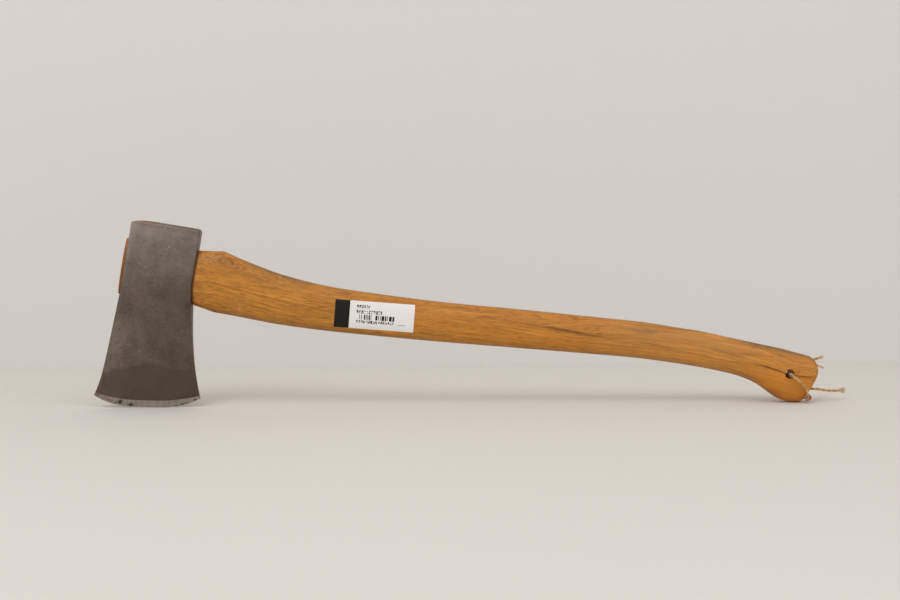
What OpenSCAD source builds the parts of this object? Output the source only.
// An axe: a forged steel head on a curved hickory haft, wedged fast in the eye.
// Each piece is drawn about the middle of the eye, with x along the haft towards the knob, z towards
// the poll and y across the cheeks. stood() then leans the whole axe until it stands on its cutting
// edge and the toe of its knob, with the middle of its box over the origin.

/* [Head] */
// Height of the head, from the poll's face to the middle of the cutting edge
head_h = 168; // [150:0.2:190]
// Depth of the head along the eye, between its front and rear faces
head_d = 62; // [56:1:70]
// Thickness of the head across the cheeks at the eye
head_t = 27.6; // [26:0.2:32]
// Thickness across the rims of the poll's face
poll_t = 25; // [20:0.5:28]
// Height of the poll's face above the middle of the eye
poll_up = 43.8; // [40:0.2:50]
// Radius that the forged rims are rounded to
rim_r = 2; // [1:0.25:3]
// Length of the poll's face that rolls down towards the front
poll_roll = 19; // [8:1:24]
// How far the toe of the blade stands out past the front face
toe_out = 10.4; // [4:0.2:20]
// How far the heel of the blade stands out past the rear face
heel_out = 23; // [10:0.5:30]
// How much higher the heel ends than the toe
heel_up = 12; // [4:0.5:16]
// How far the middle of the cutting edge bows past its corners
edge_bow = 9.8; // [6:0.1:16]
// Width of the ground bevel at the middle of the edge
bevel_w = 6.6; // [4:0.2:10]
// Thickness of the blade where the bevel starts
bevel_t = 4.6; // [3:0.2:6]
// Width of the flat left on the cutting edge
edge_land = 0.2; // [0.1:0.05:0.5]

/* [Eye] */
// Height of the eye at the rear face, where the haft enters
eye_h = 49; // [44:0.5:52]
// Width of the eye at the rear face
eye_w = 18.4; // [16:0.2:20]
// How much higher and wider the eye is at the front face, where the wedge is driven
eye_spread = 2; // [1:0.25:3]
// Gap between pieces that are driven or seated together
fit_gap = 0.05; // [0.02:0.01:0.15]

/* [Haft] */
// Length of the haft, from the domed end of its tongue to the end of the knob
haft_len = 649; // [560:1:760]
// How far the tongue stands proud of the front face
tongue_out = 2.5; // [1:0.1:8]
// Distance from the rear face to the corner of the shoulder
shoulder_out = 23; // [14:0.5:32]
// Height of the haft at the shoulder
shoulder_h = 56.2; // [52:0.2:62]
// Thickness of the haft at the shoulder
shoulder_w = 24; // [21:0.5:28]
// Distance from the rear face to the lowest place of the belly
belly_out = 119; // [95:1:140]
// Height of the haft at the belly
belly_h = 41; // [36:0.2:46]
// Thickness of the haft at the belly
belly_w = 22.5; // [18:0.5:26]
// How far the middle of the belly lies below the middle of the eye
belly_drop = 8.6; // [2:0.2:14]
// Height of the haft at the grip
grip_h = 33.1; // [28:0.1:38]
// Thickness of the haft at the grip
grip_w = 23; // [18:0.5:27]
// How far the middle of the grip lies above the middle of the eye
grip_up = 10.1; // [2:0.1:16]
// Distance from the end of the knob back to the middle of the grip
grip_back = 132; // [110:1:150]
// Height of the knob
knob_h = 47; // [42:0.5:54]
// Thickness of the knob
knob_w = 26.5; // [22:0.5:32]
// How far the middle of the knob lies below the middle of the eye
knob_drop = 1.8; // [0:0.2:6]
// Distance from the end of the knob back to its deepest place
knob_back = 25; // [20:0.5:32]
// Diameter of the hole for the twine
hole_d = 9; // [8:0.1:11]
// Distance from the end of the knob back to the hole
hole_back = 28.3; // [24:0.1:34]
// Height of the hole above the middle of the eye
hole_up = 1.3; // [-4:0.1:4]

/* [Wedges] */
// Depth that the wooden wedge is driven to
wedge_len = 42; // [30:1:52]
// Thickness of the wooden wedge at its driven end
wedge_t = 4.6; // [3:0.2:6]
// Thickness of the wooden wedge at its thin end
wedge_tip_t = 1.2; // [0.8:0.1:2]
// Outer diameter of the steel ring wedge
ring_d = 16; // [12:0.5:17]
// Wall of the steel ring wedge
ring_wall = 1.5; // [1:0.1:2.5]
// Depth that the ring wedge is driven to
ring_len = 12; // [8:0.5:16]

/* [Label] */
// Length of the label along the haft
label_l = 72.5; // [50:0.5:90]
// Width of the label
label_w = 25.3; // [18:0.1:27]
// Thickness of the label and its glue
label_t = 0.2; // [0.1:0.05:0.4]
// Distance from the rear face to the middle of the label
label_out = 167; // [120:1:220]
// Height of the middle of the label above the middle of the haft there
label_lift = -0.5; // [-2:0.1:2]
// Angle that the label is stuck on at, against the line of the eye
label_turn = 5; // [3:0.25:7]

/* [Twine] */
// Diameter of the twine
twine_d = 2.6; // [2:0.1:3.4]
// Diameter of the knot in the twine
knot_d = 7; // [5:0.1:9]

/* [Hidden] */
$fn = 64;
face_x = head_d / 2;
tip_x = -face_x - tongue_out;
end_x = tip_x + haft_len;
hole = [end_x - hole_back, 0, hole_up];
over = 1; // how far a cutting shape runs past the surface that it cuts

function mix(a, b, share) = a + (b - a) * share;

// A closed solid through rings of points, which all turn the same way and have their left and
// right halves in step, so that each end is closed by strips from one half to the other.
module loft(rings) {
    n = len(rings[0]);
    end = (len(rings) - 1) * n;
    walls = [for (start = [0:n:end - n], j = [0:n - 1]) let (a = start + j, b = start + (j + 1) % n)
        each [[a, b, b + n], [a, b + n, a + n]]];
    caps = [for (j = [0:n / 2 - 2]) let (k = n - 1 - j)
        each [[j + 1, j, k], [j + 1, k, k - 1],
            [end + j, end + j + 1, end + k], [end + j + 1, end + k - 1, end + k]]];
    polyhedron([for (ring = rings) each ring], concat(walls, caps), convexity = 6);
}

// Points from a half ring with y above 0, followed by its mirror image
function mirrored(half) = concat(half, [for (i = [len(half) - 1:-1:0])
    [half[i].x, -half[i].y, half[i].z]]);

// The head
// The two lower corners of the blade, and the lines of the cutting edge and of the bevel between
// them. u runs from -1 at the toe to 1 at the heel.
corner_z = poll_up - head_h + edge_bow;
edge_flatness = 3;
bevel_narrowing = 0.6;
function edge_at(u) = corner_z + heel_up / 2 * u - edge_bow * (1 - pow(abs(u), edge_flatness));
function bevel_at(u) = edge_at(u) + bevel_w * (1 - bevel_narrowing * pow(u, 4));

// How far the front and rear outlines flare at height z, as a share of the corner's reach. Each
// starts at its own height, runs nearly straight and then sweeps out.
toe_start = -18;
toe_sweep = [0.33, 8];
heel_start = -8;
heel_sweep = [0.41, 3];
function flare(z, from, to, sweep) = let (q = max(0, (from - z) / (from - to)))
    mix(q, pow(q, sweep[1]), sweep[0]);
function front_x(z) = -face_x - toe_out * flare(z, toe_start, corner_z - heel_up / 2, toe_sweep);
function rear_x(z) = face_x + heel_out * flare(z, heel_start, corner_z + heel_up / 2, heel_sweep);

// Half the thickness of the head at height z: nearly even beside the eye, then a hollow wedge
cheek_z = -16;
blade_z = bevel_at(0);
hollow = 0.45;
hollow_power = 1.15;
function half_t(z) = let (q = min(1, (cheek_z - z) / (cheek_z - blade_z)))
    q > 0 ? mix(head_t, bevel_t, pow(q, hollow_power) * (1 + hollow - hollow * q)) / 2
    : mix(head_t, poll_t, pow((z - cheek_z) / (poll_up - cheek_z), 2)) / 2;

// One ring of the head, seen from the poll: a rounded rectangle whose cheeks bulge a little.
// rise gives a point's height from u, which runs from -1 at the front to 1 at the rear.
cheek_steps = 10;
cheek_bulge = 0.06;
function head_ring(front, rear, thick, r, rise) = mirrored([
    for (a = [0:30:90])
        head_point(front, rear, rear - r * (1 - cos(a)), thick - r * (1 - sin(a)), rise),
    for (i = [1:cheek_steps - 1])
        head_point(front, rear, mix(rear - r, front + r, i / cheek_steps), thick, rise),
    for (a = [90:-30:0])
        head_point(front, rear, front + r * (1 - cos(a)), thick - r * (1 - sin(a)), rise)
]);
function head_point(front, rear, x, y, rise) = let (u = (2 * x - front - rear) / (rear - front))
    [x, y * (1 - cheek_bulge * u * u), rise(u)];

// The poll rolls over its rims: tightly at the rear, and in a long low roll at the front
poll_rear_r = 3;
poll_front_h = 3.5;
poll_z = poll_up - poll_front_h;
poll_rings = [for (a = [0:22.5:90]) let (s = 1 - sin(a), c = cos(a))
    head_ring(-face_x + poll_roll * s, face_x - poll_rear_r * s, half_t(poll_z) - rim_r * s, rim_r,
        function(u) mix(poll_z, poll_up, c))];
body_steps = 24;
body_rings = [for (i = [1:body_steps]) let (t = i / body_steps, thick = half_t(mix(poll_z, blade_z, t)))
    head_ring(front_x(mix(poll_z, bevel_at(-1), t)), rear_x(mix(poll_z, bevel_at(1), t)),
        thick, min(rim_r, 0.6 * thick), function(u) mix(poll_z, bevel_at(u), t))];
edge_rings = [head_ring(front_x(edge_at(-1)), rear_x(edge_at(1)), edge_land / 2, edge_land / 4,
    function(u) edge_at(u))];
HEAD = concat(poll_rings, body_rings, edge_rings);

// The eye is a tapered oval. At x it is this high and this wide:
function eye_grow(x) = eye_spread * (face_x - x) / head_d;
oval_power = 2.5;

// The haft
// A ring of the haft through its top and bottom points [x, z], half as thick as wide says. The
// power is 2 for an ellipse, and more for flatter sides.
sides = 28;
function oval(top, bottom, wide, power) = let (e = 2 / power, reach = pow(cos(180 / sides), e))
    mirrored([for (i = [0.5:sides / 2]) let (c = cos(360 * i / sides), s = sin(360 * i / sides),
        share = (1 - sign(c) * pow(abs(c), e) / reach) / 2)
        [mix(top.x, bottom.x, share), wide * pow(s, e), mix(top.y, bottom.y, share)]]);

// Rings of the eye's own section, drawn in by gap on each side, at the given places
function eye_ring(x, gap) = let (h = (eye_h + eye_grow(x)) / 2 - gap)
    oval([x, h], [x, -h], (eye_w + eye_grow(x)) / 2 - gap, oval_power);
seat_x = rear_x(-eye_h / 2);
dome = 1.2; // how far the end of the tongue is rounded over
tongue_rings = [
    for (a = [20:35:90]) let (r = dome * (1 - sin(a)))
        eye_ring(tip_x + r, fit_gap + r + dome * (90 - a) / 90),
    for (x = [-face_x:head_d / 4:face_x]) eye_ring(x, fit_gap)];

// From the shoulder to the knob the haft has stations [x, middle, height, thickness, power], and
// between two named ones shares of the way from one to the next.
shoulder_x = face_x + shoulder_out;
belly_x = face_x + belly_out;
grip_x = end_x - grip_back;
knob_x = end_x - knob_back;
SHOULDER = [shoulder_x, -0.3, shoulder_h, shoulder_w, 3];
BELLY = [belly_x, -belly_drop, belly_h, belly_w, 2.6];
GRIP = [grip_x, grip_up, grip_h, grip_w, 2.3];
KNOB = [knob_x, -knob_drop, knob_h, knob_w, 2.3];
function between(a, b, shares) = [for (i = [0:4]) mix(a[i], b[i], shares[min(i, 3)])];
STATIONS = [
    SHOULDER,
    for (s = [[0.1, 0.16, 0.16, 0.1], [0.27, 0.43, 0.4, 0.35], [0.57, 0.83, 0.71, 0.7]])
        between(SHOULDER, BELLY, s),
    BELLY,
    for (s = [[0.15, 0.09, 0.31, 0], [0.33, 0.26, 0.54, 0], [0.54, 0.54, 0.65, 0.3],
        [0.77, 0.83, 0.84, 0.7], [0.88, 0.96, 0.9, 0.85]])
        between(BELLY, GRIP, s),
    GRIP,
    for (s = [[0.2, 0, 0, 0.05], [0.36, 0.07, -0.03, 0.1], [0.53, 0.16, 0, 0.25],
        [0.7, 0.36, 0.21, 0.5], [0.785, 0.54, 0.47, 0.7], [0.88, 0.8, 0.86, 0.9]])
        between(GRIP, KNOB, s),
    KNOB];

// A column of the stations at x, on a smooth curve through them
function slope(i, k) = let (a = STATIONS[max(0, i - 1)], b = STATIONS[min(len(STATIONS) - 1, i + 1)])
    (b[k] - a[k]) / (b[0] - a[0]);
function column(x, k) = let (
    i = len([for (s = STATIONS) if (s[0] <= x) 1]) - 1,
    j = min(max(i, 0), len(STATIONS) - 2),
    a = STATIONS[j], b = STATIONS[j + 1], d = b[0] - a[0], t = (x - a[0]) / d)
    (1 + 2 * t) * pow(1 - t, 2) * a[k] + t * pow(1 - t, 2) * d * slope(j, k)
    + t * t * (3 - 2 * t) * b[k] - t * t * (1 - t) * d * slope(j + 1, k);
function haft_ring(x) = let (middle = column(x, 1), half_h = column(x, 2) / 2)
    oval([x, middle + half_h], [x, middle - half_h], column(x, 3) / 2, column(x, 4));
ring_step = 11;
haft_rings = [for (i = [0:len(STATIONS) - 2])
    let (a = STATIONS[i][0], b = STATIONS[i + 1][0], n = ceil((b - a) / ring_step))
    for (j = [0:n - 1]) haft_ring(mix(a, b, j / n))];

// The knob's end leans back to its toe. Its rings fan out: their tops go round the upper corner,
// and their bottoms round the toe and then up the end's face, until they meet.
corner_r = 12.7;
corner_drop = 1.2;
corner_turn = [96, -10];
toe_r = 5.5;
toe_rise = 1;
toe_back = 14.6;
toe_turn = [-100, -22];
toe_share = 0.45;
meet_z = 2;
top_c = [end_x - corner_r, -knob_drop + knob_h / 2 - corner_drop - corner_r];
toe_c = [end_x - toe_back, -knob_drop - knob_h / 2 + toe_rise + toe_r];
function round_at(centre, r, a) = centre + r * [cos(a), sin(a)];
function knob_top(s) = round_at(top_c, corner_r, mix(corner_turn[0], corner_turn[1], s));
function knob_bottom(s) = s < toe_share
    ? round_at(toe_c, toe_r, mix(toe_turn[0], toe_turn[1], s / toe_share))
    : mix(round_at(toe_c, toe_r, toe_turn[1]), [end_x, meet_z], (s - toe_share) / (1 - toe_share));
knob_steps = 9;
knob_last = 0.97;
knob_round = 3.4;
end_rings = [for (i = [0:knob_steps]) let (s = knob_last * i / knob_steps)
    oval(knob_top(s), knob_bottom(s), knob_w / 2 * sqrt(1 - pow(s, knob_round)), KNOB[4])];
// Just outside the head the haft swells a little at once, and then straight up to its shoulder
collar_x = seat_x + 2;
collar_share = 0.3;
collar = let (inner = eye_ring(seat_x, fit_gap), outer = haft_ring(shoulder_x))
    [for (i = [0:sides - 1]) [collar_x, mix(inner[i].y, outer[i].y, collar_share),
        mix(inner[i].z, outer[i].z, collar_share)]];
HAFT = concat(tongue_rings, [eye_ring(seat_x, fit_gap), collar], haft_rings, [haft_ring(knob_x)],
    end_rings);

// The lean of the axe, found in a few steps: the edge and the toe of the knob on one level
function leaned(p, a) = [p.x * cos(a) + p.z * sin(a), p.y, p.z * cos(a) - p.x * sin(a)];
function low(rings, a) = min([for (ring = rings) for (p = ring) leaned(p, a).z]);
function settled(a, steps) = steps == 0 ? a
    : settled(a + atan((low(HAFT, a) - low(HEAD, a)) / (knob_x - face_x)), steps - 1);
lean = settled(9, 4);
function reach(rings) = [for (ring = rings) for (p = ring) leaned(p, lean).x];
foot = [-(min(reach(HEAD)) + max(reach(HAFT))) / 2, 0, -low(HEAD, lean)];
module stood() translate(foot) rotate([0, lean, 0]) children();

module axe_head() stood() color("dimgray") difference() {
    loft(HEAD);
    loft([for (x = [-face_x - over, seat_x + over]) eye_ring(x, 0)]);
}

// The prism of the wooden wedge, grown by gap, and the tube of the ring wedge, grown by gap
module wedge_prism(gap) {
    half_out = wedge_t / 2 + gap;
    half_in = wedge_tip_t / 2 + gap;
    translate([0, 0, -eye_h]) linear_extrude(2 * eye_h)
        polygon([[tip_x - over, half_out], [tip_x, half_out], [tip_x + wedge_len + gap, half_in],
            [tip_x + wedge_len + gap, -half_in], [tip_x, -half_out], [tip_x - over, -half_out]]);
}
module ring_tube(gap, out) translate([tip_x + dome / 2 - out, 0, 0]) rotate([0, 90, 0]) difference() {
    long = ring_len + out + gap;
    cylinder(h = long, d = ring_d + 2 * gap);
    translate([0, 0, -over]) cylinder(h = long + 2 * over, d = ring_d - 2 * ring_wall - 2 * gap);
}

module handle() stood() color("peru") difference() {
    loft(HAFT);
    wedge_prism(fit_gap);
    ring_tube(fit_gap, over);
    translate(hole) rotate([90, 0, 0]) cylinder(h = 2 * knob_w, d = hole_d, center = true);
}

module wood_wedge() stood() color("burlywood") difference() {
    intersection() {
        loft(tongue_rings);
        wedge_prism(0);
    }
    ring_tube(fit_gap, over);
}

module ring_wedge() stood() color("silver") ring_tube(0, 0);

// The label follows the haft's side, half the haft's thickness out from y = 0
function side_y(x, z) = let (power = column(x, 4), q = abs(z - column(x, 1)) / column(x, 2) * 2)
    column(x, 3) / 2 * pow(1 - pow(min(1, q), power), 1 / power);
label_x = face_x + label_out;
label_z = column(label_x, 1) + label_lift;
function label_point(u, v, out) = let (
    x = label_x + u * cos(label_turn) - v * sin(label_turn),
    z = label_z + u * sin(label_turn) + v * cos(label_turn))
    [x, -side_y(x, z) - out, z];
module label() stood() color("white") loft([for (u = [-0.5:0.1:0.5]) [
    for (v = [-0.5:0.125:0.5]) label_point(u * label_l, v * label_w, fit_gap + label_t),
    for (v = [0.5:-0.125:-0.5]) label_point(u * label_l, v * label_w, fit_gap)]]);

// The twine
// It runs through the hole. Its front half hangs over the knob's face to a knot on the floor by the
// toe, and its tail goes on behind the knob. The routes are measured from the middle of the hole,
// with z straight up, and hug the hole's lower right, so that most of it stays open.
FRONT = [[2.1, 0, -2.1], [2.1, -6, -2.1], [2.2, -11, -2.1], [3, -15, -2.8], [5, -17.8, -4.2],
    [7.9, -18.6, -6.8], [10.8, -18.1, -9.9], [13.4, -17.2, -13.2], [15.4, -16.1, -16.4],
    [16.7, -14.5, -19.4]];
KNOT = [17.8, -12.3, -22.4];
TAIL = [[20.1, -7, -23.3], [20.6, -1.6, -23.6], [20.4, 4, -23.4], [19.6, 9.6, -22.7],
    [19.8, 14.2, -21], [22.6, 16.6, -19], [26.6, 16.4, -17.6], [30.6, 15.2, -17.2],
    [35, 14.2, -17.5], [39.4, 13.4, -18.1], [43.8, 13, -18.7], [48.2, 12.7, -18.9],
    [52.6, 12.5, -18.8], [57, 12.3, -18.6], [61.2, 12, -18.4]];
BACK = [[2.1, 0, -2.1], [2.1, 6, -2.1], [2.4, 11.4, -1.6], [4, 15.6, 0.2], [7.1, 17.8, 2.7],
    [11.2, 18, 4.6], [15.8, 17, 6.3], [20.4, 16, 7.8], [25, 15, 9.2], [29.4, 14.2, 10.5],
    [33.6, 13.4, 11.8], [37, 12.8, 12.8], [40, 12.2, 13.6]];

module at_hole() translate(foot + leaned(hole, lean)) children();
function unit(v) = v / norm(v);
function along(path, i) = unit(path[min(i + 1, len(path) - 1)] - path[max(i - 1, 0)]);
function across(path, i, last) = i == len(path) ? []
    : let (t = along(path, i), m = unit(last - last * t * t)) concat([m], across(path, i + 1, m));
twine_sides = 8;
module cord(path) {
    normals = across(path, 0, [1, 0, 1]);
    loft([for (i = [0:len(path) - 1]) let (m = normals[i], b = cross(m, along(path, i)))
        [for (j = [0.5:twine_sides]) let (a = 360 * j / twine_sides)
            path[i] + twine_d / 2 * (m * cos(a) + b * sin(a))]]);
}

// The knot is a ball with two flats, where the twine goes in and comes out
knot_reach = sqrt(pow(knot_d, 2) - pow(twine_d, 2)) / 2;
knot_in = unit(FRONT[len(FRONT) - 1] - KNOT);
knot_out = unit(TAIL[0] - KNOT);
module twine_front() at_hole() color("tan") cord(concat(FRONT, [KNOT + knot_in * knot_reach]));
module twine_tail() at_hole() color("tan") cord(concat([KNOT + knot_out * knot_reach], TAIL));
module twine_back() at_hole() color("tan") cord(BACK);
module twine_knot() at_hole() color("tan") translate(KNOT) difference() {
    sphere(d = knot_d);
    for (v = [knot_in, knot_out])
        rotate([0, acos(v.z), atan2(v.y, v.x)]) translate([-knot_d / 2, -knot_d / 2, knot_reach])
            cube(knot_d);
}

axe_head();
handle();
wood_wedge();
ring_wedge();
label();
twine_front();
twine_knot();
twine_tail();
twine_back();
